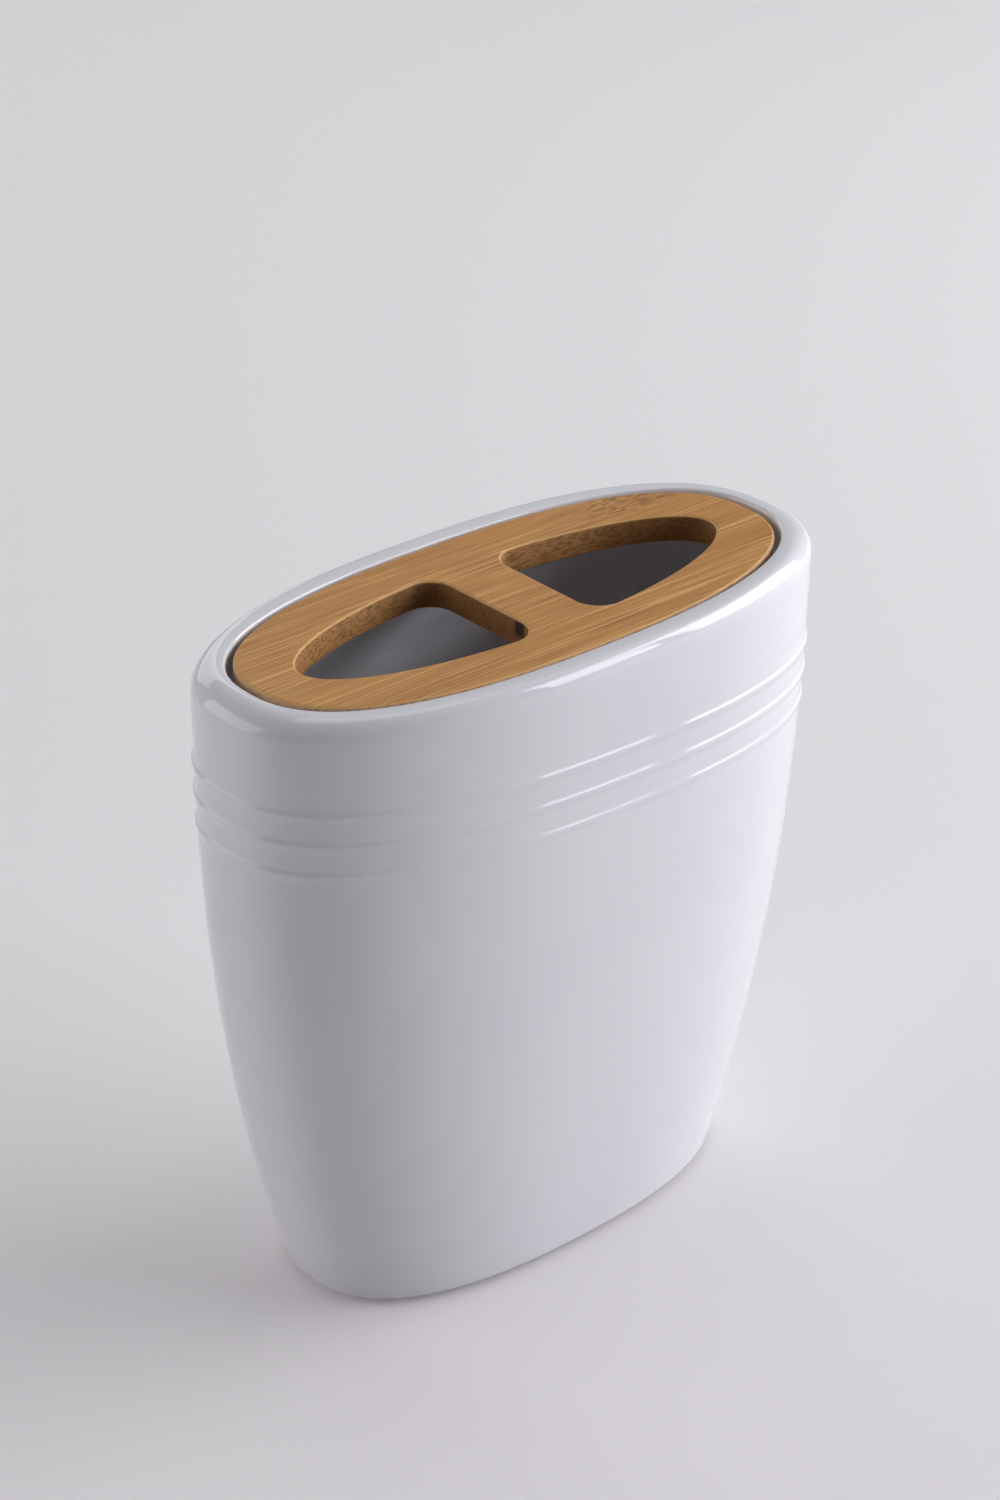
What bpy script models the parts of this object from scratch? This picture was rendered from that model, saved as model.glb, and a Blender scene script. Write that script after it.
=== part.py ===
"""Oval toothbrush holder: a glazed ceramic tumbler, a drop-in bamboo lid and four silicone pads.

Metres, +Z up. The origin is on the table under the middle of the tumbler, and X is the long way.
Sizes are outside sizes unless their names say otherwise. Heights are measured from the table.
"""
import math

import bmesh
import bpy
from mathutils import Vector

# Tumbler, outside
RIM_LENGTH = 0.1123
RIM_WIDTH = 0.0511
RIM_HEIGHT = 0.1100
RIM_THICKNESS = 0.00545
FOOT_LENGTH = 0.0825
FOOT_WIDTH = 0.0403

# The rim's roll: how far it rises, and how far it reaches inwards at the ends and along the sides
RIM_ROUND = 0.0034
ROLL_AT_ENDS = 0.0044
ROLL_AT_SIDES = 0.0015

# The rim's small inner edge: how far it drops, and its share of the rim's thickness
RIM_INNER_ROUND = 0.0009
INNER_EDGE_SHARE = 0.10

# Thicknesses are those at the ends of the oval. Along its sides they are thinner by this factor.
SIDE_SHARE = 0.76

# Shape of the oval and of the wall seen from the side. A power of 2 is an ellipse.
OVAL_POWER = 2.45
FLARE_POWER = 2.35

# Raised rings, counted from the top one. They were pulled by hand and run lower towards +X.
RING_COUNT = 3
RING_PITCH = 0.0050
FIRST_RING_DEPTH = 0.0163
RING_RELIEF = 0.00032
RING_UPPER_SIDE = 0.0010
RING_LOWER_SIDE = 0.0016
RING_FALL = 0.0034

# Height and relief of the points across one ring, as shares of its sides and of its relief
RING_SHARES = ((1.0, 0.0), (0.45, 0.62), (0.0, 1.0), (-0.45, 0.62), (-1.0, 0.0))

# Foot: the glaze stops above an unglazed ring, and the underside is hollowed
FOOT_CLEARANCE = 0.00045
FOOT_INSET = 0.0012
FOOT_RING_WIDTH = 0.0036
GLAZE_LINE = 0.0009
GLAZE_ROUND = 0.0010
RECESS_HEIGHT = 0.0019

# Tumbler, inside
WALL = 0.0044
FLOOR_HEIGHT = 0.0065
FLOOR_FILLET = 0.0060
LEDGE_REACH = 0.0030
LEDGE_DEPTH = 0.0050
LEDGE_SLOPE = 0.0045
LEDGE_ROUND = 0.0005

# Lid
LID_SUNK = 0.0001
LID_THICKNESS = 0.0046
LID_SEAT_GAP = 0.0003
LID_END_CLEARANCE = 0.0012
LID_SIDE_CLEARANCE = 0.0005
LID_EASE = 0.0005
BRIDGE_WIDTH = 0.0114
END_RAIL = 0.0083
SIDE_RAIL = 0.0084
HOLE_CORNER = 0.0046

# Pads under the foot
PAD_DIAMETER = 0.0080
PAD_EASE = 0.0004
PAD_GLUE = 0.0003
PAD_MARGIN = 0.0005
PAD_LONG_SHARE = 0.72
PAD_SHORT_SHARE = 0.68

# How far a cutter reaches past the faces that it cuts
OVERRUN = 0.0020

# Fineness of the meshes
OVAL_SIDES = 60
WALL_STEPS = 9
SHOULDER_STEPS = 2
LINING_STEPS = 6
ROUND_STEPS = 5
SMALL_ROUND_STEPS = 3
HOLE_SIDE_STEPS = 30
HOLE_CORNER_STEPS = 7
PAD_SIDES = 24
SHARP_ANGLE = math.radians(50)

SHOULDER_HEIGHT = RIM_HEIGHT - RIM_ROUND
LID_TOP = RIM_HEIGHT - LID_SUNK
LID_BOTTOM = LID_TOP - LID_THICKNESS
LEDGE_HEIGHT = LID_BOTTOM - LID_SEAT_GAP
LID_SEMI_LONG = RIM_LENGTH / 2 - RIM_THICKNESS - LID_END_CLEARANCE
LID_SEMI_SHORT = RIM_WIDTH / 2 - RIM_THICKNESS * SIDE_SHARE - LID_SIDE_CLEARANCE


def clear_scene():
    """Remove whatever the file holds."""
    for item in list(bpy.data.objects):
        bpy.data.objects.remove(item, do_unlink=True)


def make_material(name, colour, roughness):
    """One Principled material with a flat colour."""
    material = bpy.data.materials.new(name)
    material.use_nodes = True
    shader = material.node_tree.nodes["Principled BSDF"]
    shader.inputs["Base Color"].default_value = (*colour, 1.0)
    shader.inputs["Roughness"].default_value = roughness
    shader.inputs["Metallic"].default_value = 0.0
    return material


def add_object(name, bm, material):
    """Put a finished bmesh into the scene as one named object."""
    mesh = bpy.data.meshes.new(name)
    bm.to_mesh(mesh)
    bm.free()
    mesh.shade_smooth()
    mesh.set_sharp_from_angle(angle=SHARP_ANGLE)
    mesh.materials.append(material)
    item = bpy.data.objects.new(name, mesh)
    bpy.context.collection.objects.link(item)
    return item


def oval_ring(semi_long, semi_short, height, tilt=0.0):
    """Points round a full-shouldered oval, with the +X end lower by tilt and the -X end higher."""
    dual = OVAL_POWER / (OVAL_POWER - 1)
    points = []
    for step in range(OVAL_SIDES):
        turn = math.tau * step / OVAL_SIDES
        heading = math.atan2(RIM_LENGTH * math.sin(turn), RIM_WIDTH * math.cos(turn))
        across = math.cos(heading)
        along = math.sin(heading)
        reach = (semi_long * abs(across)) ** dual + (semi_short * abs(along)) ** dual
        scale = reach ** (1 / dual - 1)
        x = math.copysign(scale * semi_long ** dual * abs(across) ** (dual - 1), across)
        y = math.copysign(scale * semi_short ** dual * abs(along) ** (dual - 1), along)
        points.append(Vector((x, y, height - tilt * x / semi_long)))
    return points


def wall_share(height):
    """How far the outside has opened from the foot's size to the rim's, 0 to 1."""
    climb = (height - GLAZE_LINE) / (SHOULDER_HEIGHT - GLAZE_LINE)
    climb = min(max(climb, 0.0), 1.0)
    return 1 - (1 - climb) ** FLARE_POWER


def wall_semi_axes(height):
    """Half the outside length and half the outside width at a height."""
    share = wall_share(height)
    semi_long = (FOOT_LENGTH + (RIM_LENGTH - FOOT_LENGTH) * share) / 2
    semi_short = (FOOT_WIDTH + (RIM_WIDTH - FOOT_WIDTH) * share) / 2
    return semi_long, semi_short


def wall_ring(height, inset, tilt=0.0):
    """A ring that stands inside the outer wall by inset at the ends, and by less along the sides."""
    semi_long, semi_short = wall_semi_axes(height)
    return oval_ring(semi_long - inset, semi_short - inset * SIDE_SHARE, height, tilt)


def ring_tilt(height):
    """Tilt of the wall's levels: full in the band of rings, fading to none at rim and foot."""
    band_top = RIM_HEIGHT - FIRST_RING_DEPTH + RING_UPPER_SIDE
    band_bottom = RIM_HEIGHT - FIRST_RING_DEPTH - (RING_COUNT - 1) * RING_PITCH - RING_LOWER_SIDE
    if height > band_top:
        share = (SHOULDER_HEIGHT - height) / (SHOULDER_HEIGHT - band_top)
    elif height < band_bottom:
        share = height / band_bottom
    else:
        share = 1.0
    return share * RING_FALL / 2


def quarter(steps):
    """Sine and cosine at even steps through a quarter turn, both ends included."""
    for step in range(steps + 1):
        angle = math.pi / 2 * step / steps
        yield math.sin(angle), math.cos(angle)


def foot_rings():
    """The underside, from the hollow's edge out to where the glazed wall starts."""
    inner_inset = FOOT_INSET + FOOT_RING_WIDTH
    rings = [
        wall_ring(RECESS_HEIGHT, inner_inset + GLAZE_ROUND / 2),
        wall_ring(FOOT_CLEARANCE, inner_inset),
        wall_ring(FOOT_CLEARANCE, FOOT_INSET),
        wall_ring(GLAZE_LINE, FOOT_INSET),
    ]
    for rise, run in quarter(SMALL_ROUND_STEPS):
        height = GLAZE_LINE + GLAZE_ROUND * (1 - run)
        rings.append(wall_ring(height, GLAZE_ROUND * (1 - rise), ring_tilt(height)))
    return rings


def spaced(low, high, steps):
    """Heights between low and high, neither end included."""
    return [low + (high - low) * step / steps for step in range(1, steps)]


def outer_rings():
    """The outside wall above the foot, with its raised rings, up to the rim's shoulder."""
    crests = [RIM_HEIGHT - FIRST_RING_DEPTH - RING_PITCH * index for index in range(RING_COUNT)]
    rings = []
    foot_end = GLAZE_LINE + GLAZE_ROUND
    for height in spaced(foot_end, crests[-1] - RING_LOWER_SIDE, WALL_STEPS):
        rings.append(wall_ring(height, 0.0, ring_tilt(height)))
    for crest in reversed(crests):
        for height_share, relief_share in reversed(RING_SHARES):
            side = RING_UPPER_SIDE if height_share > 0 else RING_LOWER_SIDE
            height = crest + side * height_share
            rings.append(wall_ring(height, -RING_RELIEF * relief_share, ring_tilt(height)))
    for height in spaced(crests[0] + RING_UPPER_SIDE, SHOULDER_HEIGHT, SHOULDER_STEPS):
        rings.append(wall_ring(height, 0.0, ring_tilt(height)))
    return rings


def rim_rings():
    """The rim: a roll up from the shoulder, a level top and a small edge at the inner side."""
    rings = []
    for rise, run in quarter(ROUND_STEPS):
        height = SHOULDER_HEIGHT + RIM_ROUND * rise
        semi_long, semi_short = wall_semi_axes(height)
        semi_long -= ROLL_AT_ENDS * (1 - run)
        semi_short -= ROLL_AT_SIDES * (1 - run)
        rings.append(oval_ring(semi_long, semi_short, height))
    edge = RIM_THICKNESS * INNER_EDGE_SHARE
    for run, rise in quarter(SMALL_ROUND_STEPS):
        height = RIM_HEIGHT - RIM_INNER_ROUND * (1 - rise)
        rings.append(wall_ring(height, RIM_THICKNESS - edge * (1 - run)))
    return rings


def ledge_rings():
    """The seat inside the rim that carries the lid, and its sloping underside."""
    reach = RIM_THICKNESS + LEDGE_REACH
    rings = [wall_ring(LEDGE_HEIGHT, RIM_THICKNESS)]
    for rise, run in quarter(SMALL_ROUND_STEPS):
        height = LEDGE_HEIGHT - LEDGE_ROUND * (1 - run)
        rings.append(wall_ring(height, reach - LEDGE_ROUND * (1 - rise)))
    rings.append(wall_ring(LEDGE_HEIGHT - LEDGE_DEPTH, reach))
    rings.append(wall_ring(LEDGE_HEIGHT - LEDGE_DEPTH - LEDGE_SLOPE, WALL))
    return rings


def lining_rings():
    """The inside wall below the ledge, down into the rounded floor."""
    top = LEDGE_HEIGHT - LEDGE_DEPTH - LEDGE_SLOPE
    fillet_top = FLOOR_HEIGHT + FLOOR_FILLET
    rings = [wall_ring(height, WALL) for height in spaced(top, fillet_top, LINING_STEPS)]
    for rise, run in quarter(ROUND_STEPS):
        height = fillet_top - FLOOR_FILLET * rise
        rings.append(wall_ring(height, WALL + FLOOR_FILLET * (1 - run)))
    return rings


def extrude_ring(bm, ring, points):
    """Extrude a closed ring of vertices and move the new ring onto the points."""
    count = len(ring)
    edges = [bm.edges.get((ring[index], ring[(index + 1) % count])) for index in range(count)]
    made = bmesh.ops.extrude_edge_only(bm, edges=edges)["geom"]
    new_vertices = {item for item in made if isinstance(item, bmesh.types.BMVert)}
    new_ring = []
    for vertex, point in zip(ring, points):
        partner = next(
            edge.other_vert(vertex) for edge in vertex.link_edges
            if edge.other_vert(vertex) in new_vertices
        )
        partner.co = point
        new_ring.append(partner)
    return new_ring


def make_tumbler(material):
    """Loft the whole pot as one skin, from the hollow under the foot to the floor inside."""
    rings = foot_rings() + outer_rings() + rim_rings() + ledge_rings() + lining_rings()
    bm = bmesh.new()
    ring = [bm.verts.new(point) for point in rings[0]]
    bm.faces.new(ring)
    for points in rings[1:]:
        ring = extrude_ring(bm, ring, points)
    bm.faces.new(ring)
    bmesh.ops.recalc_face_normals(bm, faces=bm.faces)
    return add_object("ceramic_tumbler", bm, material)


def plate(points, low, high):
    """A flat plate of the given outline between two heights."""
    bm = bmesh.new()
    face = bm.faces.new([bm.verts.new((point[0], point[1], low)) for point in points])
    made = bmesh.ops.extrude_face_region(bm, geom=[face])["geom"]
    top = [item for item in made if isinstance(item, bmesh.types.BMVert)]
    bmesh.ops.translate(bm, vec=Vector((0.0, 0.0, high - low)), verts=top)
    bmesh.ops.recalc_face_normals(bm, faces=bm.faces)
    return bm


def hole_corner(semi_long, semi_short, edge):
    """Where a corner arc meets the hole's curved side: the angle there and the arc's centre.

    The arc touches the bridge's edge and the curved side, so its centre lies one radius inside
    both. The angle is found by halving.
    """
    low = 0.0
    high = math.pi / 2
    for _ in range(60):
        angle = (low + high) / 2
        heading = math.atan2(semi_long * math.sin(angle), semi_short * math.cos(angle))
        centre_x = semi_long * math.cos(angle) - HOLE_CORNER * math.cos(heading)
        if centre_x > edge + HOLE_CORNER:
            low = angle
        else:
            high = angle
    centre_y = semi_short * math.sin(angle) - HOLE_CORNER * math.sin(heading)
    return angle, heading, Vector((edge + HOLE_CORNER, centre_y))


def hole_outline():
    """The +X opening: an elliptical side, two corner arcs and the bridge's straight edge."""
    semi_long = LID_SEMI_LONG - END_RAIL
    semi_short = LID_SEMI_SHORT - SIDE_RAIL
    edge = BRIDGE_WIDTH / 2
    last, heading, centre = hole_corner(semi_long, semi_short, edge)
    points = []
    for step in range(HOLE_SIDE_STEPS + 1):
        angle = last * (2 * step / HOLE_SIDE_STEPS - 1)
        points.append(Vector((semi_long * math.cos(angle), semi_short * math.sin(angle))))
    corner = []
    for step in range(1, HOLE_CORNER_STEPS + 1):
        angle = heading + (math.pi - heading) * step / HOLE_CORNER_STEPS
        corner.append(centre + HOLE_CORNER * Vector((math.cos(angle), math.sin(angle))))
    points += corner
    points += [Vector((point.x, -point.y)) for point in reversed(corner)]
    return points


def add_cutter(name, points, parent):
    """A closed cutter that runs past both faces of the lid, placed where the lid is."""
    bm = plate(points, -OVERRUN, LID_THICKNESS + OVERRUN)
    mesh = bpy.data.meshes.new(name)
    bm.to_mesh(mesh)
    bm.free()
    cutter = bpy.data.objects.new(name, mesh)
    bpy.context.collection.objects.link(cutter)
    cutter.parent = parent
    cutter.hide_render = True
    cutter.display_type = "WIRE"
    return cutter


def make_lid(material):
    """An oval board, cut right through twice, with every edge eased."""
    outline = oval_ring(LID_SEMI_LONG, LID_SEMI_SHORT, 0.0)
    lid = add_object("bamboo_lid", plate(outline, 0.0, LID_THICKNESS), material)
    lid.location = (0.0, 0.0, LID_BOTTOM)
    hole = hole_outline()
    mirrored = [Vector((-point.x, point.y)) for point in reversed(hole)]
    for name, points in (("hole_right_cutter", hole), ("hole_left_cutter", mirrored)):
        cut = lid.modifiers.new(name, "BOOLEAN")
        cut.operation = "DIFFERENCE"
        cut.solver = "EXACT"
        cut.object = add_cutter(name, points, lid)
    ease = lid.modifiers.new("eased_edges", "BEVEL")
    ease.width = LID_EASE
    ease.segments = 2
    ease.limit_method = "ANGLE"
    ease.angle_limit = SHARP_ANGLE
    return lid


def make_pads(material):
    """Four clear pads stuck in the foot's hollow, standing just below the foot ring."""
    foot_edge = FOOT_INSET + FOOT_RING_WIDTH
    room_long = FOOT_LENGTH / 2 - foot_edge - PAD_DIAMETER / 2 - PAD_MARGIN
    room_short = FOOT_WIDTH / 2 - foot_edge * SIDE_SHARE - PAD_DIAMETER / 2 - PAD_MARGIN
    height = RECESS_HEIGHT - PAD_GLUE
    bm = bmesh.new()
    bmesh.ops.create_cone(
        bm, cap_ends=True, segments=PAD_SIDES,
        radius1=PAD_DIAMETER / 2, radius2=PAD_DIAMETER / 2, depth=height,
    )
    rims = [edge for edge in bm.edges if edge.calc_face_angle() > SHARP_ANGLE]
    bmesh.ops.bevel(bm, geom=rims, offset=PAD_EASE, segments=2, profile=0.5, affect="EDGES")
    bmesh.ops.translate(bm, vec=Vector((0.0, 0.0, height / 2)), verts=bm.verts)
    first = add_object("foot_pad_1", bm, material)
    pads = [first]
    for index in range(2, 5):
        pad = bpy.data.objects.new(f"foot_pad_{index}", first.data)
        bpy.context.collection.objects.link(pad)
        pads.append(pad)
    corners = ((1, 1), (-1, 1), (-1, -1), (1, -1))
    for pad, (side_x, side_y) in zip(pads, corners):
        pad.location.x = side_x * room_long * PAD_LONG_SHARE
        pad.location.y = side_y * room_short * PAD_SHORT_SHARE
    return pads


def main():
    clear_scene()
    glaze = make_material("white_glaze", (0.80, 0.80, 0.81), 0.10)
    bamboo = make_material("bamboo", (0.40, 0.22, 0.09), 0.50)
    silicone = make_material("clear_silicone", (0.70, 0.71, 0.70), 0.35)
    make_tumbler(glaze)
    make_lid(bamboo)
    make_pads(silicone)


main()
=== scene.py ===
# %% [markdown]
# # A toothbrush holder: a glazed tumbler with a bamboo lid
# The real object is a slip-cast pot with a white glaze, and an oval bamboo board that drops onto
# a ledge inside its rim. Four clear pads keep the pot's unglazed foot off the shelf.
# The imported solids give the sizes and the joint. This file models each piece again in the same
# place, with finer curves, and gives it the finish that the plain solids don't have.

import math

import bmesh
import bpy
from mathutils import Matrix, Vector


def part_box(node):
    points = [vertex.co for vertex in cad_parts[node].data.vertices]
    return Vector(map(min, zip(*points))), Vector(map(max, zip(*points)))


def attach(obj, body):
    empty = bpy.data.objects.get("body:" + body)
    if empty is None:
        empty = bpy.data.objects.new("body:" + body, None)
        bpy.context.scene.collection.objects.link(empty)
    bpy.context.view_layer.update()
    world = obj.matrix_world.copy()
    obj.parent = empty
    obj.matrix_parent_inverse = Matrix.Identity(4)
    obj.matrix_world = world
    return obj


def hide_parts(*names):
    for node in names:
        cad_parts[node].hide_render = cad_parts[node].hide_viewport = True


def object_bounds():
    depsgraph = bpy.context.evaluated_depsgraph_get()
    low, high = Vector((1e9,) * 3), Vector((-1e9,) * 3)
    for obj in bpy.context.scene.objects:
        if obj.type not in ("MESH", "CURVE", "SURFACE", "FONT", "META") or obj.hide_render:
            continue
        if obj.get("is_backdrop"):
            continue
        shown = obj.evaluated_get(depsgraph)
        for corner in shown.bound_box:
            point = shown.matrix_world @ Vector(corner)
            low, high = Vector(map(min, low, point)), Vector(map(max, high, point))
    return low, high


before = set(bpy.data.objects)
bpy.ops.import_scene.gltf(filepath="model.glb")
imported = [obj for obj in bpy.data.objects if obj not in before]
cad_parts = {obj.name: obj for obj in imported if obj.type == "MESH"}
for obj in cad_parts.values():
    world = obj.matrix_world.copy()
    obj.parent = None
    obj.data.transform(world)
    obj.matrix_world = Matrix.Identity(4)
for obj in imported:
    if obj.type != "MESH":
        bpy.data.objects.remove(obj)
CAD_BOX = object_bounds()
POT_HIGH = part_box("ceramic_tumbler")[1]
LID_LOW, LID_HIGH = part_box("bamboo_lid")
TO_MM = 1000
print("packed model, mm:", [round(TO_MM * side, 1) for side in CAD_BOX[1] - CAD_BOX[0]])

# %% [markdown]
# ## The camera
# A long lens looks down on the pot from its front left, so that the lid and the long side both
# show. The place and the turn come from matching the oval rim, the lid and the foot to the
# photograph, so the perspective is right as well as the framing.

# %% Camera
CAMERA_PLACE = (-0.31737, -0.35024, 0.34073)
CAMERA_TURN = (61.365, -0.917, -41.472)
CAMERA_LENS = 83.15

bpy.ops.object.camera_add(location=CAMERA_PLACE, rotation=[math.radians(turn) for turn in CAMERA_TURN])
camera = bpy.context.object
camera.data.lens = CAMERA_LENS
bpy.context.scene.camera = camera
print("camera to the pot's foot:", round(camera.location.length, 3), "m")

# %% [markdown]
# ## The oval
# Seen from above, the rim, the foot and the lid are fuller than ellipses. Such a shape is a
# superellipse, and so is the profile of Blender's Bevel tool. A rectangle whose corners are
# bevelled right up to the middles of its sides therefore becomes the oval that is wanted, and the
# profile setting follows from the oval's power. A power of 2 would give an ellipse.

# %% An oval face
OVAL_POWER = 2.45
OVAL_PROFILE = 2 ** (-2 / OVAL_POWER)
UNIT = 1
PER_CENT_TO_MIDDLE = 50
MERGE = 1e-6


def start_fresh():
    """Leave edit mode and deselect everything, so that the next operator acts on its own piece only."""
    if bpy.context.object and bpy.context.object.mode == "EDIT":
        bpy.ops.object.mode_set(mode="OBJECT")
    bpy.ops.object.select_all(action="DESELECT")


def name_piece(name):
    """Name the piece that was just added, and its mesh."""
    piece = bpy.context.object
    piece.name = name
    piece.data.name = name
    return piece


def oval_face(name, semi_long, semi_short, height, corner_steps):
    """A flat oval, still in edit mode and with its face selected."""
    start_fresh()
    bpy.ops.mesh.primitive_plane_add(size=2 * UNIT, location=(0, 0, height))
    piece = name_piece(name)
    bpy.ops.object.mode_set(mode="EDIT")
    bpy.ops.transform.resize(value=(semi_long, semi_short, 1))
    bpy.ops.mesh.bevel(
        offset_type="PERCENT", offset_pct=PER_CENT_TO_MIDDLE, segments=corner_steps,
        profile=OVAL_PROFILE, affect="VERTICES",
    )
    bpy.ops.mesh.remove_doubles(threshold=MERGE)
    bpy.ops.mesh.select_all(action="SELECT")
    bpy.context.tool_settings.mesh_select_mode = (False, False, True)
    return piece


def finish_mesh(piece, sharp_angle):
    """Turn the faces outwards, put the piece's place into its mesh and shade it smooth up to an angle."""
    bpy.ops.mesh.select_all(action="SELECT")
    bpy.ops.mesh.normals_make_consistent(inside=False)
    bpy.ops.object.mode_set(mode="OBJECT")
    bpy.ops.object.transform_apply(location=True, rotation=True, scale=True)
    bpy.ops.object.shade_smooth_by_angle(angle=sharp_angle)
    corners = len(piece.data.vertices)
    faces = len(piece.data.polygons)
    print(piece.name, "has", corners, "vertices and", faces, "faces")


# %% [markdown]
# ## The tumbler's wall
# The pot flares quickly above its foot and then climbs almost straight. One formula gives how far
# it has opened at each height. The pot is then made as one would by hand: the face under the foot
# is extruded, scaled, extruded and scaled again, up the outside, over the rim and down the inside,
# and the last face is the cup's floor. Nothing has to be joined, and the skin is closed.

# %% How the wall opens
RIM_LONG = 0.05615
RIM_SHORT = 0.02555
RIM_TOP = POT_HIGH.z
RIM_ROUND = 0.0034
FOOT_LONG = 0.04125
FOOT_SHORT = 0.02015
GLAZE_LINE = 0.0009
FLARE_POWER = 2.35
SHOULDER = RIM_TOP - RIM_ROUND


def wall_size(height):
    """Half the outside length and half the outside width at a height."""
    climb = min(max((height - GLAZE_LINE) / (SHOULDER - GLAZE_LINE), 0), 1)
    share = 1 - (1 - climb) ** FLARE_POWER
    return FOOT_LONG + (RIM_LONG - FOOT_LONG) * share, FOOT_SHORT + (RIM_SHORT - FOOT_SHORT) * share


for height in (GLAZE_LINE, RIM_TOP / 2, SHOULDER):
    sides = [round(2 * TO_MM * half, 1) for half in wall_size(height)]
    print("at", round(TO_MM * height, 1), "mm the pot measures", sides)

# %% [markdown]
# The three raised rings were pulled by hand, so they run a little lower towards one end, and the
# top one stands out most. Each is a soft ridge, steeper above than below, with a faint hollow over
# the top one. Their relief is only a third of a millimetre, but a gloss glaze shows it clearly.

# %% The raised rings
RINGS = ((0.0937, 0.00032), (0.0887, 0.00032), (0.0837, 0.00029))
RING_ABOVE = 0.00072
RING_BELOW = 0.0016
RING_DROP = 0.0017
HOLLOW_HEIGHT = 0.0962
HOLLOW_HALF = 0.0016
HOLLOW_DEPTH = 0.00006
BAND_TOP = HOLLOW_HEIGHT + HOLLOW_HALF
BAND_BOTTOM = RINGS[-1][0] - RING_BELOW


def ridge(distance, half):
    """A smooth hump that is 1 in its middle and 0 from its half width on."""
    return (1 + math.cos(math.pi * distance / half)) / 2 if abs(distance) < half else 0


def relief(height):
    """How far the rings stand out of the wall at a height."""
    out = -HOLLOW_DEPTH * ridge(height - HOLLOW_HEIGHT, HOLLOW_HALF)
    for crest, rise in RINGS:
        out += rise * ridge(height - crest, RING_ABOVE if height > crest else RING_BELOW)
    return out


def ring_drop(height):
    """How much lower the +X end of a level is: full in the band of rings, none at rim and foot."""
    above = (SHOULDER - height) / (SHOULDER - BAND_TOP)
    below = height / BAND_BOTTOM
    return RING_DROP * max(min(above, below, 1), 0)


print("most relief, mm:", round(TO_MM * max(relief(ring[0]) for ring in RINGS), 2))

# %% [markdown]
# Each level of the pot is a height, an inset from the wall's curve and a drop. The lists run from
# the hollow under the foot to the cup's floor. The levels are close together only where the skin
# turns or where the rings are, because a flat stretch needs few faces. The rim is a broad roll at
# the ends and a narrow one along the sides, so its levels have a second inset, for the sides.

# %% The levels of the outside
RECESS = 0.0019
FOOT_CLEARANCE = 0.00045
FOOT_INSET = 0.0012
FOOT_WIDTH = 0.0036
FOOT_EASE = 0.0003
GLAZE_ROUND = 0.0010
WALL_STEP = 0.0025
RING_STEP = 0.00015
SHOULDER_STEP = 0.0010
QUARTER_STEPS = 12
SMALL_STEPS = 5


def stretch(first, last, step):
    """Heights from the first to the last, both included, in even steps."""
    count = max(round(abs(last - first) / step), 1)
    return [first + (last - first) * index / count for index in range(count + 1)]


def quarter(steps):
    """Sine and cosine at even steps through a quarter turn."""
    angles = [math.pi / 2 * index / steps for index in range(steps + 1)]
    return [(math.sin(angle), math.cos(angle)) for angle in angles]


def foot_levels():
    """From the hollow under the foot, across the bare foot ring, to the rolled edge of the glaze."""
    inner = FOOT_INSET + FOOT_WIDTH
    for sine, cosine in quarter(SMALL_STEPS):
        yield FOOT_CLEARANCE + FOOT_EASE * (1 - sine), inner - FOOT_EASE * (1 - cosine), 0
    for sine, cosine in quarter(SMALL_STEPS):
        yield FOOT_CLEARANCE + FOOT_EASE * (1 - cosine), FOOT_INSET + FOOT_EASE * (1 - sine), 0
    yield GLAZE_LINE, FOOT_INSET, 0
    for sine, cosine in quarter(QUARTER_STEPS):
        height = GLAZE_LINE + GLAZE_ROUND * (1 - cosine)
        yield height, GLAZE_ROUND * (1 - sine), ring_drop(height)


def wall_levels():
    """The flaring wall and its rings, up to the rim's shoulder."""
    for height in stretch(GLAZE_LINE + GLAZE_ROUND, BAND_BOTTOM, WALL_STEP)[1:]:
        yield height, 0, ring_drop(height)
    for height in stretch(BAND_BOTTOM, BAND_TOP, RING_STEP)[1:]:
        yield height, -relief(height), ring_drop(height)
    for height in stretch(BAND_TOP, SHOULDER, SHOULDER_STEP)[1:-1]:
        yield height, 0, ring_drop(height)


# %% The levels of the rim and the inside
RIM_THICKNESS = 0.00545
RIM_INNER_ROUND = 0.0009
INNER_EDGE_SHARE = 0.10
RIM_INNER_EDGE = INNER_EDGE_SHARE * RIM_THICKNESS
ROLL_AT_ENDS = 0.0044
ROLL_AT_SIDES = 0.0015
WALL = 0.0044
SEAT_GAP = 0.0003
LEDGE = LID_LOW.z - SEAT_GAP
LEDGE_FILLET = 0.0006
LEDGE_INSET = 0.00845
LEDGE_ROUND = 0.0005
LEDGE_DEPTH = 0.0050
LEDGE_SLOPE = 0.0045
FLOOR = 0.0065
FLOOR_FILLET = 0.0060
LINING_STEP = 0.0040
RIM_STEPS = 16


def rim_levels():
    """Over the rim: its outer roll, which is broader at the ends, its level top and its inner edge."""
    for sine, cosine in quarter(RIM_STEPS):
        height = SHOULDER + RIM_ROUND * sine
        yield height, ROLL_AT_ENDS * (1 - cosine), 0, ROLL_AT_SIDES * (1 - cosine)
    for sine, cosine in quarter(SMALL_STEPS):
        height = RIM_TOP - RIM_INNER_ROUND * (1 - cosine)
        yield height, RIM_THICKNESS - RIM_INNER_EDGE * (1 - sine), 0


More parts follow.
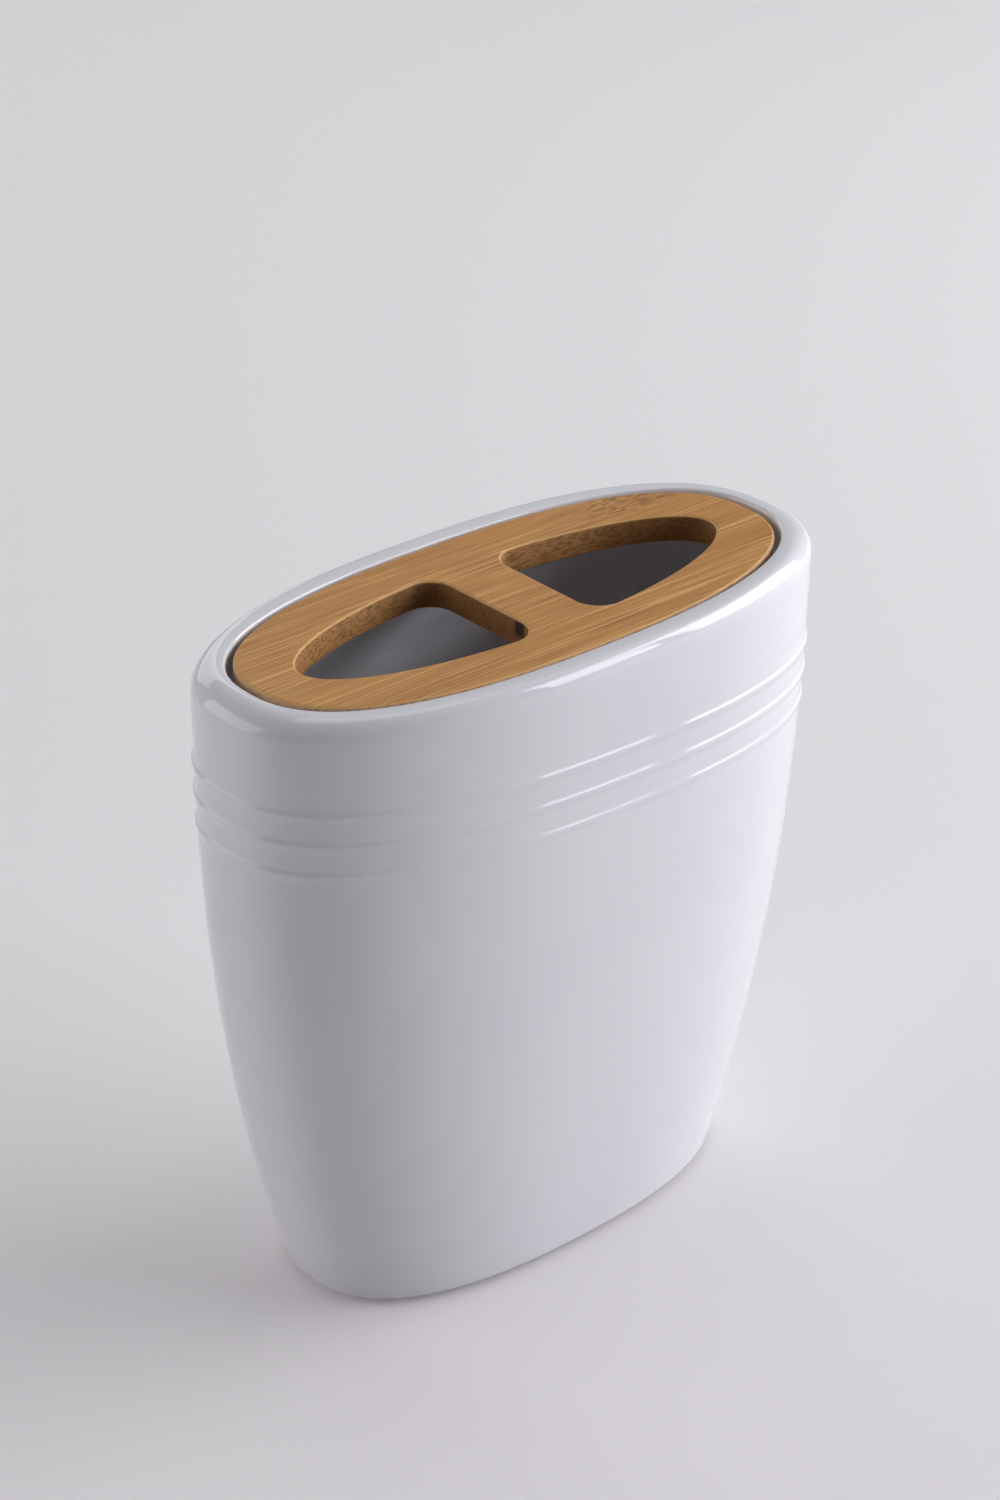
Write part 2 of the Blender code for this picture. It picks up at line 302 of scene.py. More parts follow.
def ledge_levels():
    """Down to the ledge that carries the lid, across it, and down its sloping underside."""
    for sine, cosine in quarter(SMALL_STEPS):
        yield LEDGE + LEDGE_FILLET * (1 - sine), RIM_THICKNESS + LEDGE_FILLET * (1 - cosine), 0
    for sine, cosine in quarter(SMALL_STEPS):
        yield LEDGE - LEDGE_ROUND * (1 - cosine), LEDGE_INSET - LEDGE_ROUND * (1 - sine), 0
    yield LEDGE - LEDGE_DEPTH, LEDGE_INSET, 0
    yield LEDGE - LEDGE_DEPTH - LEDGE_SLOPE, WALL, 0


def lining_levels():
    """Down the inside wall and round into the floor."""
    top = LEDGE - LEDGE_DEPTH - LEDGE_SLOPE
    for height in stretch(top, FLOOR + FLOOR_FILLET, LINING_STEP)[1:-1]:
        yield height, WALL, 0
    for sine, cosine in quarter(QUARTER_STEPS):
        yield FLOOR + FLOOR_FILLET * (1 - sine), WALL + FLOOR_FILLET * (1 - cosine), 0


pot_levels = [*foot_levels(), *wall_levels(), *rim_levels(), *ledge_levels(), *lining_levels()]
print(len(pot_levels), "levels")

# %% Raise the pot
POT_CORNER_STEPS = 56
POT_SHARP = math.radians(50)
RECESS_FILLET = 0.0005
SIDE_SHARE = 0.76


def size_at(height, inset, drop=0, side_inset=None):
    """Half the length and half the width of a level. Its drop is taken along and changes neither.

    A level without an inset of its own for the sides gets a share of the one at the ends, because
    the pot is thinner along its sides.
    """
    semi_long, semi_short = wall_size(height)
    if side_inset is None:
        side_inset = SIDE_SHARE * inset
    return semi_long - inset, semi_short - side_inset


def climb(level, now):
    """Extrude the selected face from its present level to the next, scale it there and tilt it."""
    height, drop = level[0], level[2]
    old_long, old_short = size_at(*now)
    new_long, new_short = size_at(*level)
    centre = (0, 0, height)
    bpy.ops.mesh.extrude_region_move(TRANSFORM_OT_translate={"value": (0, 0, height - now[0])})
    bpy.ops.transform.resize(value=(new_long / old_long, new_short / old_short, 1), center_override=centre)
    tilt = math.atan(drop / new_long) - math.atan(now[2] / new_long)
    if tilt:
        bpy.ops.transform.rotate(value=-tilt, orient_axis="Y", center_override=centre)


now = (RECESS, FOOT_INSET + FOOT_WIDTH + RECESS_FILLET, 0)
tumbler = oval_face("fine_tumbler", *size_at(*now), RECESS, POT_CORNER_STEPS)
for level in pot_levels:
    climb(level, now)
    now = level
finish_mesh(tumbler, POT_SHARP)
for sign in (-1, 1):
    tip = max((corner.co for corner in tumbler.data.vertices), key=lambda point: sign * point.x)
    print("furthest point at this end, mm:", [round(TO_MM * value, 2) for value in tip])

# %% [markdown]
# ## The bamboo lid
# The board is bamboo strips glued side by side, planed, and cut out with a router: an oval with
# two D-shaped openings and a straight bridge between them. The same tools serve here. A Boolean
# cuts the openings, and a small bevel eases the edges as sandpaper does.

# %% The board
LID_THICKNESS = LID_HIGH.z - LID_LOW.z
LID_CORNER_STEPS = 48
LID_SHARP = math.radians(30)

lid = oval_face("fine_lid", LID_HIGH.x, LID_HIGH.y, LID_LOW.z, LID_CORNER_STEPS)
bpy.ops.mesh.extrude_region_move(TRANSFORM_OT_translate={"value": (0, 0, LID_THICKNESS)})
finish_mesh(lid, LID_SHARP)

# %% [markdown]
# The curved side of an opening runs nearly parallel to the board's edge, and it is an ellipse. So
# the cutter starts as a disc. It is scaled to the ellipse and bisected where the corners begin, and
# the straight cut is then extruded up to the bridge. After the cutter has got its depth, its two
# upright corners are bevelled round.

# %% Cutters for the openings
HOLE_LONG = 0.0412
HOLE_SHORT = 0.0125
HOLE_SIDES = 144
BRIDGE_HALF = 0.0057
HOLE_CORNER = 0.0046
CORNER_STEPS = 12
CUT_MARGIN = 0.0020
NEAR = 1e-5
FLAT = 1e-3


def choose(kind, test):
    """In edit mode, select the edges or the faces that pass a test, and nothing else."""
    mesh = bpy.context.object.data
    bpy.ops.mesh.select_all(action="DESELECT")
    bpy.context.tool_settings.mesh_select_mode = (False, kind == "edges", kind == "faces")
    edited = bmesh.from_edit_mesh(mesh)
    for part in edited.edges if kind == "edges" else edited.faces:
        part.select_set(test(part))
    bmesh.update_edit_mesh(mesh)


def lies_at(edge, x):
    """Whether an edge lies in the upright plane at x."""
    return all(abs(corner.co.x - x) < NEAR for corner in edge.verts)


def is_upright(edge):
    """Whether an edge runs from one face of the cutter to the other."""
    return abs(edge.verts[0].co.z - edge.verts[1].co.z) > LID_THICKNESS


def hole_cutter(name):
    """A closed D-shaped block for the +X opening, which reaches past both faces of the board."""
    start = BRIDGE_HALF + HOLE_CORNER
    half = HOLE_SHORT * math.sqrt(1 - (start / HOLE_LONG) ** 2)
    slope = (HOLE_SHORT / HOLE_LONG) ** 2 * start / half
    bottom = LID_LOW.z - CUT_MARGIN
    start_fresh()
    bpy.ops.mesh.primitive_circle_add(
        vertices=HOLE_SIDES, radius=UNIT, fill_type="NGON", location=(0, 0, bottom),
    )
    cutter = name_piece(name)
    bpy.ops.object.mode_set(mode="EDIT")
    bpy.ops.transform.resize(value=(HOLE_LONG, HOLE_SHORT, 1))
    bpy.ops.mesh.bisect(plane_co=(start, 0, bottom), plane_no=(1, 0, 0), clear_inner=True)
    choose("edges", lambda edge: lies_at(edge, start))
    bpy.ops.mesh.extrude_region_move(TRANSFORM_OT_translate={"value": (BRIDGE_HALF - start, 0, 0)})
    bpy.ops.transform.resize(value=(1, 1 + slope * HOLE_CORNER / half, 1))
    bpy.ops.mesh.select_all(action="SELECT")
    bpy.ops.mesh.dissolve_limited(angle_limit=FLAT)
    bpy.ops.mesh.select_all(action="SELECT")
    bpy.ops.mesh.extrude_region_move(
        TRANSFORM_OT_translate={"value": (0, 0, LID_THICKNESS + 2 * CUT_MARGIN)},
    )
    choose("edges", lambda edge: lies_at(edge, BRIDGE_HALF) and is_upright(edge))
    bpy.ops.mesh.bevel(offset=HOLE_CORNER, segments=CORNER_STEPS, affect="EDGES")
    finish_mesh(cutter, LID_SHARP)
    return cutter


def cut(piece, cutter):
    """Cut with a Boolean, apply it and throw the cutter away."""
    start_fresh()
    bpy.context.view_layer.objects.active = piece
    piece.select_set(True)
    boolean = piece.modifiers.new("cut", "BOOLEAN")
    boolean.object = cutter
    bpy.ops.object.modifier_apply(modifier="cut")
    bpy.data.objects.remove(cutter)


right_cutter = hole_cutter("right_cutter")
bpy.ops.object.duplicate(linked=False)
left_cutter = name_piece("left_cutter")
bpy.ops.transform.rotate(value=math.pi, orient_axis="Z", center_override=(0, 0, 0))
cut(lid, right_cutter)
cut(lid, left_cutter)
print("the cut board has", len(lid.data.polygons), "faces")

# %% [markdown]
# The sharp edges are the ones where two faces meet at about a right angle. They are selected by
# that angle and bevelled. An inset then puts a narrow border on the two flat faces, which keeps
# their shading flat right up to the eased edge.

# %% Ease the edges
LID_EASE = 0.0005
LID_BORDER = 0.00015
EASE_STEPS = 4
STEEP = math.radians(60)
LEVEL = 0.9999


def is_steep(edge):
    """Whether two faces meet at the edge at about a right angle."""
    return edge.calc_face_angle(0) > STEEP


def ease_edges(piece, ease, border, sharp_angle):
    """Bevel the steep edges of the piece that is active, and give its level faces a border."""
    bpy.ops.object.mode_set(mode="EDIT")
    choose("edges", is_steep)
    bpy.ops.mesh.bevel(offset=ease, segments=EASE_STEPS, affect="EDGES")
    choose("faces", lambda face: abs(face.normal.z) > LEVEL)
    bpy.ops.mesh.inset(thickness=border)
    finish_mesh(piece, sharp_angle)


ease_edges(lid, LID_EASE, LID_BORDER, LID_SHARP)

# %% [markdown]
# ## The pads
# Four soft clear discs sit in the hollow under the foot. A disc is a cylinder with its edges
# bevelled and its faces inset, so it is softly domed. One is modelled, and the others are copies
# with their own meshes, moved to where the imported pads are.

# %% Pads
PAD_SIDES = 48
PAD_EASE = 0.0004
PAD_BORDER = 0.0010
PAD_SHARP = math.radians(40)

pad_nodes = sorted(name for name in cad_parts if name.startswith("foot_pad"))
pad_low, pad_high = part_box(pad_nodes[0])
start_fresh()
bpy.ops.mesh.primitive_cylinder_add(
    vertices=PAD_SIDES, radius=(pad_high.x - pad_low.x) / 2, depth=pad_high.z - pad_low.z,
    location=(pad_low + pad_high) / 2,
)
first_pad = name_piece("fine_pad_1")
ease_edges(first_pad, PAD_EASE, PAD_BORDER, PAD_SHARP)

pads = [first_pad]
for number, node in enumerate(pad_nodes[1:], 2):
    start_fresh()
    first_pad.select_set(True)
    bpy.context.view_layer.objects.active = first_pad
    bpy.ops.object.duplicate(linked=False)
    pads.append(name_piece(f"fine_pad_{number}"))
    bpy.ops.transform.translate(value=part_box(node)[0] - pad_low)
    bpy.ops.object.transform_apply(location=True)
print(len(pads), "pads")

# %% [markdown]
# ## Writing materials as sums
# A material is a graph of nodes, and its maths reads best as ordinary expressions. So a small
# class wraps the output of a node: to add or multiply two of them adds the Math node. Any other
# node comes from one method, which takes the node's type, its settings and its sockets.

# %% Node expressions
class Signal:
    """The output of a node. Arithmetic on it adds Math nodes to the same material."""

    def __init__(self, tree, output=None):
        self.tree = tree
        self.output = output

    def node(self, kind, settings=None, values=None, result=0):
        """Add a node. Its settings are made first, then its sockets get their values or links."""
        made = self.tree.nodes.new(kind)
        for name, value in (settings or {}).items():
            setattr(made, name, value)
        for name, value in (values or {}).items():
            if isinstance(value, Signal):
                self.tree.links.new(value.output, made.inputs[name])
            else:
                made.inputs[name].default_value = value
        return Signal(self.tree, made.outputs[result])

    def math(self, operation, *terms):
        """A Math node with these terms."""
        return self.node("ShaderNodeMath", {"operation": operation}, dict(enumerate(terms)))

    def __add__(self, other):
        return self.math("ADD", self, other)

    def __sub__(self, other):
        return self.math("SUBTRACT", self, other)

    def __rsub__(self, other):
        return self.math("SUBTRACT", other, self)

    def __mul__(self, other):
        return self.math("MULTIPLY", self, other)

    def __pow__(self, other):
        return self.math("POWER", self, other)

    def __abs__(self):
        return self.math("ABSOLUTE", self)

    __radd__ = __add__
    __rmul__ = __mul__


# %% Nodes that the finishes share
OBJECT_PLACE = 3
OBJECT_NORMAL = 1
MIX_FACTOR = 0
MIX_FIRST = 6
MIX_SECOND = 7
MIX_COLOUR = 2
MICRON = 1e-6


def new_finish(name, **constants):
    """A Principled material, with what is the same all over set on the shader's own sockets."""
    material = bpy.data.materials.new(name)
    material.use_nodes = True
    shader = material.node_tree.nodes["Principled BSDF"]
    for socket, value in constants.items():
        shader.inputs[socket.replace("_", " ")].default_value = value
    return material, shader, Signal(material.node_tree)


def drive(shader, socket, signal):
    """Link a signal to one of the shader's sockets."""
    signal.tree.links.new(signal.output, shader.inputs[socket])


def noise(place, scale, detail, roughness):
    """Noise from 0 to 1. The scale is in cycles a metre along each axis; a small one draws it out."""
    spot = place.node("ShaderNodeVectorMath", {"operation": "MULTIPLY"}, {0: place, 1: scale})
    return spot.node(
        "ShaderNodeTexNoise", None,
        {"Vector": spot, "Scale": 1.0, "Detail": detail, "Roughness": roughness},
    )


def fade(signal, zero_at, one_at):
    """0 at one value, 1 at the other and a smooth change between them."""
    return signal.node(
        "ShaderNodeMapRange", {"interpolation_type": "SMOOTHSTEP"},
        {"Value": signal, "From Min": zero_at, "From Max": one_at},
    )


def mix(mask, first, second):
    """The first colour where the mask is 0 and the second where it is 1."""
    first = (*first, 1) if isinstance(first, tuple) else first
    second = (*second, 1) if isinstance(second, tuple) else second
    values = {MIX_FACTOR: mask, MIX_FIRST: first, MIX_SECOND: second}
    return mask.node("ShaderNodeMix", {"data_type": "RGBA"}, values, result=MIX_COLOUR)


def axes(place):
    """The x, y and z of a vector."""
    return [place.node("ShaderNodeSeparateXYZ", None, {0: place}, result=index) for index in range(3)]


def drive_bump(shader, height, depth):
    """Make a height, counted in depths, stand out in the shader's normal."""
    bump = height.node("ShaderNodeBump", None, {"Strength": 1.0, "Distance": depth, "Height": height})
    drive(shader, "Normal", bump)


print("helpers ready")

# %% [markdown]
# ## White glaze
# The glaze is glass over a white body: a pale base colour under a sharp, colourless reflection.
# A fired glaze isn't quite even. It has a slow swell, a fine orange peel and a slightly uneven
# gloss. Under the glaze line the foot ring is bare clay, which is matt, rough and a little yellower.
# Its colour is also made much darker than bare clay, as painted shade for the gap under the foot.
# A mask by height, with a noisy edge, tells the two apart.
# Here and in the other finishes, a noise is given by its scale, its detail and its roughness. A
# pair whose name ends in SHOWN has the values where a pattern begins and where it is complete. The
# depths of the bump are in microns.

# %% Glaze and bare clay
GLAZE = (0.79, 0.79, 0.83)
GLAZE_COOL = (0.77, 0.77, 0.815)
# The clay colours are darker than bare clay: painted shade for the gap under the foot.
CLAY_AND_FOOT_SHADE = (0.34, 0.285, 0.225)
CLAY_DARK_AND_FOOT_SHADE = (0.23, 0.185, 0.14)
GLAZE_IOR = 1.5
GLAZE_ROUGHNESS = 0.035
SMEAR_LEAST = 0.7
SMEAR_SPAN = 0.6
CLAY_ROUGHNESS = 0.80
RAGGED_EDGE = 0.0002
RAGGED_NOISE = ((400, 400, 400), 2.0, 0.5)
POOL_NOISE = ((35, 35, 35), 3.0, 0.5)
POOL_SHOWN = (0.35, 0.75)
GRAIN_NOISE = ((2600, 2600, 2600), 4.0, 0.7)
GRAIN_SHOWN = (0.35, 0.7)
GRAIN_DEPTH = 30
SMEAR_NOISE = ((90, 90, 90), 3.0, 0.5)
SWELL_NOISE = ((60, 60, 60), 1.0, 0.5)
SWELL_DEPTH = 12
PEEL_NOISE = ((420, 420, 420), 1.0, 0.5)
PEEL_DEPTH = 0.8


def make_glaze():
    """White glaze, and bare clay below the glaze line darkened as painted shade."""
    material, shader, start = new_finish("white_glaze", IOR=GLAZE_IOR)
    place = start.node("ShaderNodeTexCoord", result=OBJECT_PLACE)
    height = axes(place)[2]
    ragged = noise(place, *RAGGED_NOISE)
    bare = fade(height - RAGGED_EDGE * ragged, GLAZE_LINE, GLAZE_LINE - RAGGED_EDGE)
    pooled = fade(noise(place, *POOL_NOISE), *POOL_SHOWN)
    grain = noise(place, *GRAIN_NOISE)
    white = mix(pooled, GLAZE, GLAZE_COOL)
    # Painted shade: the bare foot ring is darkened to stand in for the shadow in the gap under it.
    clay_and_foot_shade = mix(fade(grain, *GRAIN_SHOWN), CLAY_DARK_AND_FOOT_SHADE, CLAY_AND_FOOT_SHADE)
    drive(shader, "Base Color", mix(bare, white, clay_and_foot_shade))
    smear = noise(place, *SMEAR_NOISE)
    glossy = GLAZE_ROUGHNESS * (SMEAR_LEAST + SMEAR_SPAN * smear)
    drive(shader, "Roughness", glossy + CLAY_ROUGHNESS * bare)
    swell = noise(place, *SWELL_NOISE)
    peel = noise(place, *PEEL_NOISE)
    glazed_relief = (1 - bare) * (SWELL_DEPTH * swell + PEEL_DEPTH * peel)
    drive_bump(shader, glazed_relief + GRAIN_DEPTH * bare * grain, MICRON)
    return material


glaze = make_glaze()
print("glaze nodes:", len(glaze.node_tree.nodes))

# %% [markdown]
# ## Bamboo
# Bamboo has no rings or rays. It is straight bundles of dark fibre in paler pith, so noise that is
# drawn out along the grain gives long streaks on the face and dots on a cut end, all from one
# pattern. Where the stem had a joint, the bundles swerve and show as short dark flecks. The walls
# of the openings are painted a darker brown as painted shade, and stay tan only in a patch at the
# back of each; a black spot at the left opening's front corner is painted shade too. The outer edge
# is only sanded, so it is paler and dry. The eased edges are painted pale, partly for the sanding
# and partly as a painted highlight.

# %% Bamboo, the face
BAMBOO_DEEP = (0.485, 0.213, 0.048)
BAMBOO_PALE = (0.610, 0.297, 0.084)
STREAK_PALE = (0.840, 0.510, 0.195)
STREAK_DARK = (0.270, 0.115, 0.030)
JOINT_MIDDLE = (0.0385, 0.0135)
JOINT_HALF = (0.0150, 0.0052)
SPOT_CORE = 0.2
BROAD_NOISE = ((14, 210, 210), 2.0, 0.5)
BROAD_SHARE = 0.35
FIBRE_NOISE = ((45, 1900, 1900), 3.0, 0.65)
FIBRE_SHARE = 0.40
HAIR_NOISE = ((75, 3600, 3600), 1.0, 0.5)
HAIR_SHARE = 0.25
TONE_SHOWN = (0.36, 0.64)
PALE_NOISE = ((32, 2200, 2200), 1.0, 0.5)
PALE_SHOWN = (0.57, 0.67)
PALE_WEIGHT = 0.60
DARK_NOISE = ((60, 2500, 2500), 1.0, 0.5)
DARK_SHOWN = (0.57, 0.70)
DARK_WEIGHT = 0.50
FLECK_NOISE = ((380, 1500, 1500), 2.0, 0.5)
FLECK_SHOWN = (0.47, 0.58)
FLECK_WEIGHT = 0.80


def oval_spot(x, y, middle, half):
    """1 in the core of an oval spot, fading to 0 at its edge."""
    across = ((x - middle[0]) * (1 / half[0])) ** 2 + ((y - middle[1]) * (1 / half[1])) ** 2
    return fade(across, 1, SPOT_CORE)


def face_colour(place, x, y):
    """The planed face: broad tones, fine fibre, pale and dark streaks and the flecks of a joint."""
    broad = noise(place, *BROAD_NOISE)
    fibre = noise(place, *FIBRE_NOISE)
    hair = noise(place, *HAIR_NOISE)
    tone = fade(BROAD_SHARE * broad + FIBRE_SHARE * fibre + HAIR_SHARE * hair, *TONE_SHOWN)
    pale = fade(noise(place, *PALE_NOISE), *PALE_SHOWN)
    dark = fade(noise(place, *DARK_NOISE), *DARK_SHOWN)
    flecks = fade(noise(place, *FLECK_NOISE), *FLECK_SHOWN)
    joint = oval_spot(x, y, JOINT_MIDDLE, JOINT_HALF)
    colour = mix(tone, BAMBOO_DEEP, BAMBOO_PALE)
    colour = mix(PALE_WEIGHT * pale, colour, STREAK_PALE)
    colour = mix(DARK_WEIGHT * dark, colour, STREAK_DARK)
    return mix(FLECK_WEIGHT * joint * flecks, colour, STREAK_DARK), fibre


print("bamboo face ready")

# %% Bamboo, the cut walls and the whole finish
CUT_TAN = (0.440, 0.215, 0.065)
# Painted shade: the darker brown of the openings' walls, outside the two tan patches at their backs.
CUT_WALL_PAINTED_SHADE = (0.270, 0.116, 0.028)
CUT_DASH = (0.120, 0.050, 0.012)
TAN_RIGHT = (0.0110, 0.0090)
TAN_LEFT = (-0.0300, 0.0090)
TAN_HALF = (0.0190, 0.0100)
BAMBOO_DRY = (0.660, 0.430, 0.270)
DRY_DASH = (0.300, 0.170, 0.090)
# Painted shade: a black spot high on the left opening's wall, at its front corner by the bridge.
SHADE_SPOT_BLACK = (0.022, 0.009, 0.004)
SHADE_SPOT_MIDDLE = (-0.0058, -0.0077)
SHADE_SPOT_HALF = 0.0014
SHADE_SPOT_BOTTOM = 0.1068
SHADE_SPOT_TOP = 0.1078
INNER_SHARE = 0.80
OUTER_SHARE = 0.90
DASH_NOISE = ((600, 3200, 2600), 2.0, 0.6)
CUT_DASH_SHOWN = (0.44, 0.60)
CUT_DASH_WEIGHT = 0.6
DRY_DASH_SHOWN = (0.45, 0.70)
DRY_DASH_WEIGHT = 0.7
WALL_SHOWN = (0.75, 0.25)
# The eased edges are painted pale: partly sanded wood, partly a painted highlight.
EASED_SHOWN = (0.98, 0.85)
EDGE_SANDING_AND_HIGHLIGHT_WEIGHT = 0.5
BAMBOO_IOR = 1.45
FACE_ROUGHNESS = 0.48
FIBRE_ROUGHNESS = 0.14
WALL_ROUGHNESS = 0.2
FIBRE_DEPTH = 14
DASH_DEPTH = 30


def wall_colour(place, x, y, z):
    """The walls: short fine dashes along the grain, dots on the cut ends, and painted shade in the
    openings.
    """
    dashes = noise(place, *DASH_NOISE)
    tan = oval_spot(x, y, TAN_RIGHT, TAN_HALF) + oval_spot(x, y, TAN_LEFT, TAN_HALF)
    cut_dashes = CUT_DASH_WEIGHT * fade(dashes, *CUT_DASH_SHOWN)
    # The openings' walls: painted shade in brown, tan only in the two patches, with the grain's dark
    # dashes over it.
    shaded_cut_wall = mix(cut_dashes, mix(tan, CUT_WALL_PAINTED_SHADE, CUT_TAN), CUT_DASH)
    dry_wall = mix(DRY_DASH_WEIGHT * fade(dashes, *DRY_DASH_SHOWN), BAMBOO_DRY, DRY_DASH)
    reach = (abs(x) * (1 / LID_HIGH.x)) ** OVAL_POWER + (abs(y) * (1 / LID_HIGH.y)) ** OVAL_POWER
    outer = fade(reach, INNER_SHARE, OUTER_SHARE)
    # Painted shade: the black spot at the left opening's front corner.
    shade_spot = oval_spot(x, y, SHADE_SPOT_MIDDLE, (SHADE_SPOT_HALF, SHADE_SPOT_HALF)) * fade(z, SHADE_SPOT_BOTTOM, SHADE_SPOT_TOP)
    return mix(shade_spot, mix(outer, shaded_cut_wall, dry_wall), SHADE_SPOT_BLACK), dashes


def make_bamboo():
    """Bamboo, whose face, eased edges and walls are told apart by how level the surface is."""
    material, shader, start = new_finish("bamboo", IOR=BAMBOO_IOR)
    place = start.node("ShaderNodeTexCoord", result=OBJECT_PLACE)
    facing = start.node("ShaderNodeTexCoord", result=OBJECT_NORMAL)
    x, y, z = axes(place)
    level = abs(axes(facing)[2])
    wall = fade(level, *WALL_SHOWN)
    edge_sanding_and_highlight = fade(level, *EASED_SHOWN)
    on_face, fibre = face_colour(place, x, y)
    # Painted highlight, with some real sanding: the eased edges are made paler.
    on_face = mix(EDGE_SANDING_AND_HIGHLIGHT_WEIGHT * edge_sanding_and_highlight, on_face, STREAK_PALE)
    on_wall, dashes = wall_colour(place, x, y, z)
    drive(shader, "Base Color", mix(wall, on_face, on_wall))
    drive(shader, "Roughness", FACE_ROUGHNESS + FIBRE_ROUGHNESS * fibre + WALL_ROUGHNESS * wall)
    drive_bump(shader, FIBRE_DEPTH * fibre * (1 - wall) + DASH_DEPTH * wall * dashes, MICRON)
    return material


bamboo = make_bamboo()
print("bamboo nodes:", len(bamboo.node_tree.nodes))

# %% [markdown]
# ## Clear silicone
# The pads are soft, slightly cloudy and matt. Some transmission and a broad highlight are enough.

# %% Silicone
SILICONE = (0.84, 0.85, 0.84)
SILICONE_CLOUDY = (0.72, 0.73, 0.72)
SILICONE_IOR = 1.41
SILICONE_CLEAR = 0.5
SILICONE_ROUGHNESS = 0.28
CLOUD_NOISE = ((600, 600, 600), 3.0, 0.5)
CLOUD_ROUGHNESS = 0.15
CLOUD_DEPTH = 5


def make_silicone():
    """Slightly cloudy silicone."""
    material, shader, start = new_finish(
        "clear_silicone", Transmission_Weight=SILICONE_CLEAR, IOR=SILICONE_IOR,
    )
    place = start.node("ShaderNodeTexCoord", result=OBJECT_PLACE)
    cloud = noise(place, *CLOUD_NOISE)
    drive(shader, "Base Color", mix(cloud, SILICONE, SILICONE_CLOUDY))
    drive(shader, "Roughness", SILICONE_ROUGHNESS + CLOUD_ROUGHNESS * cloud)
    drive_bump(shader, cloud, CLOUD_DEPTH * MICRON)
    return material


silicone = make_silicone()
print("silicone nodes:", len(silicone.node_tree.nodes))

# %% Put the pieces on their bodies and give them their finishes
fine_pieces = [
    (tumbler, "ceramic_tumbler", "tumbler", "glaze", glaze),
    (lid, "bamboo_lid", "lid", "bamboo", bamboo),
    *((pad, node, "tumbler", "silicone", silicone) for pad, node in zip(pads, pad_nodes)),
]
for piece, node, body, slot, material in fine_pieces:
    piece.data.materials.append(material)
    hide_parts(node)
    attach(piece, body)
    print(piece.name, "stands for", node, "and moves with", body)

# %% [markdown]
# ## The studio
# The pot stands on a pale floor that curves up into a low wall all round, so that every side view
# has a plain background. The floor's own glow is seen only by the camera and in reflections. It
# makes the background paler without putting more light on the pot, and the shadow stays.

# %% Floor and backdrop
STAGE_RADIUS = 2.4
STAGE_HEIGHT = 1.1
STAGE_ROUND = 0.8
STAGE_SIDES = 128
STAGE_STEPS = 16
STAGE_COLOUR = (0.71, 0.69, 0.695)
STAGE_GLOW = (0.140, 0.132, 0.145)
STAGE_ROUGHNESS = 0.9
STAGE_SPECULAR = 0.2
NO_GLOW = (0, 0, 0)
CAMERA_RAY = 0
GLOSSY_RAY = 3
TRANSMISSION_RAY = 6


def shown_rays(start):
    """1 where the camera, a reflection or a clear pad looks, and 0 for the light on things."""
    looks = (CAMERA_RAY, GLOSSY_RAY, TRANSMISSION_RAY)
    rays = [start.node("ShaderNodeLightPath", result=ray) for ray in looks]
    return rays[0] + rays[1] + rays[2]


start_fresh()
bpy.ops.mesh.primitive_circle_add(vertices=STAGE_SIDES, radius=STAGE_RADIUS, fill_type="NGON")
floor = name_piece("floor")
bpy.ops.object.mode_set(mode="EDIT")
choose("edges", lambda edge: True)
bpy.ops.mesh.extrude_region_move(TRANSFORM_OT_translate={"value": (0, 0, STAGE_HEIGHT)})
choose("edges", is_steep)
bpy.ops.mesh.bevel(offset=STAGE_ROUND, segments=STAGE_STEPS, affect="EDGES")
bpy.ops.object.mode_set(mode="OBJECT")
bpy.ops.object.shade_smooth_by_angle(angle=STEEP)

paper, paper_shader, paper_start = new_finish(
    "paper", Base_Color=(*STAGE_COLOUR, 1), Roughness=STAGE_ROUGHNESS,
    Specular_IOR_Level=STAGE_SPECULAR, Emission_Strength=1.0,
)
drive(paper_shader, "Emission Color", mix(shown_rays(paper_start), NO_GLOW, STAGE_GLOW))
floor.data.materials.append(paper)
floor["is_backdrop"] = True
print("floor and backdrop:", len(floor.data.polygons), "faces")

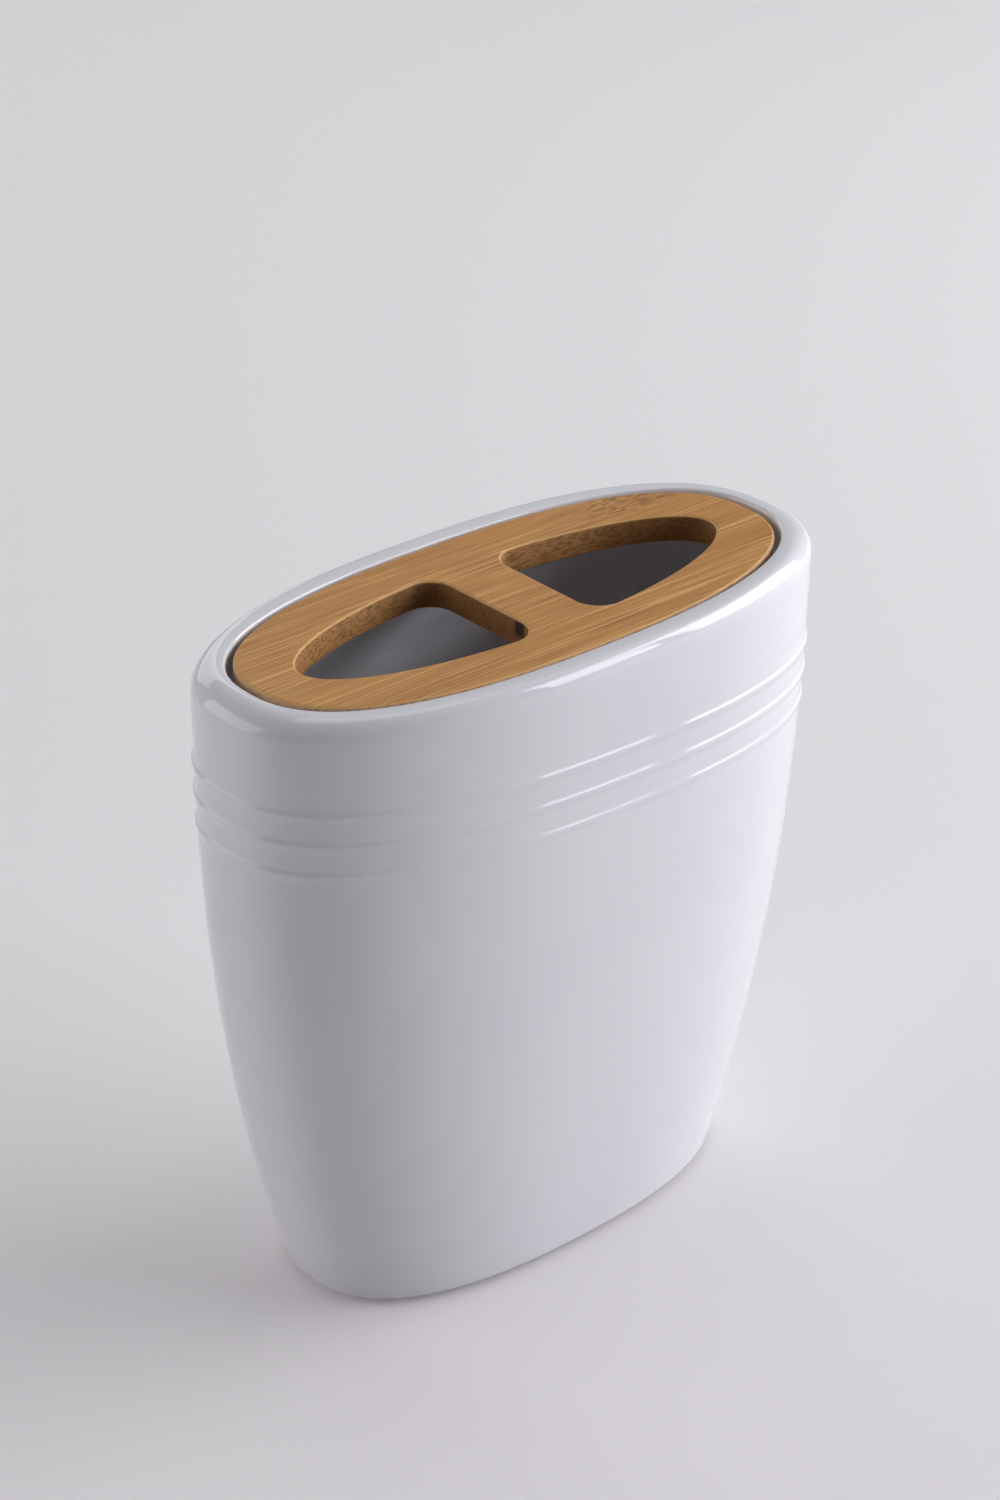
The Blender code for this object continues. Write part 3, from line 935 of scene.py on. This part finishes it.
# %% [markdown]
# Two tall soft panels stand to the right of the camera. Their reflections are the bright lines
# along the rim and the rings, and the gap between the panels is the break in those lines. Two
# weaker panels behind the pot lift its left end and its back, and one overhead lights the lid and
# the rim. The room adds a little from all sides. Reflections show it paler than it lights, as they
# do the floor, so that the glaze mirrors a pale studio.

# %% Lights
AIM = Vector((0, 0, 0.06))
# Azimuth and elevation in degrees, distance, width and height in metres, radiance, colour.
PANELS = {
    "near_panel": (34.8, 18, 1.2, 0.26, 0.62, 5.9, (0.92, 0.93, 1)),
    "wide_panel": (66.5, 18, 1.2, 0.92, 0.80, 6.2, (0.98, 0.98, 1)),
    "left_panel": (-126, 18, 1.3, 1.20, 0.90, 1.9, (1, 0.97, 0.98)),
    "back_panel": (165, 22, 1.3, 0.80, 0.60, 1.4, (0.93, 1, 0.93)),
    "top_panel": (120, 68, 1.4, 0.90, 0.90, 1.5, (0.95, 0.97, 1)),
}
ROOM = (0.93, 0.94, 1.0)
ROOM_STRENGTH = 0.05
ROOM_SHOWN = 0.50


def add_panel(name, azimuth, elevation, distance, width, height, radiance, colour):
    """A soft panel that faces the pot. Its power follows from how bright each part of it is."""
    around, up = math.radians(azimuth), math.radians(elevation)
    way = Vector((math.sin(around) * math.cos(up), -math.cos(around) * math.cos(up), math.sin(up)))
    turn = way.to_track_quat("Z", "Y").to_euler()
    bpy.ops.object.light_add(type="AREA", location=AIM + distance * way, rotation=turn)
    panel = name_piece(name)
    panel.data.shape = "RECTANGLE"
    panel.data.size = width
    panel.data.size_y = height
    panel.data.energy = math.pi * width * height * radiance
    panel.data.color = colour
    panel.visible_camera = False
    print(name, round(panel.data.energy, 2), "W")


for name, facts in PANELS.items():
    add_panel(name, *facts)

world = bpy.data.worlds.new("room")
bpy.context.scene.world = world
world.use_nodes = True
room = world.node_tree.nodes["Background"]
room.inputs["Color"].default_value = (*ROOM, 1)
seen = shown_rays(Signal(world.node_tree))
world.node_tree.links.new((ROOM_STRENGTH + ROOM_SHOWN * seen).output, room.inputs["Strength"])
bpy.context.scene.view_settings.view_transform = "Standard"

# %% Write the two boxes and finish
[[list(corner) for corner in box] for box in (CAD_BOX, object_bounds())]
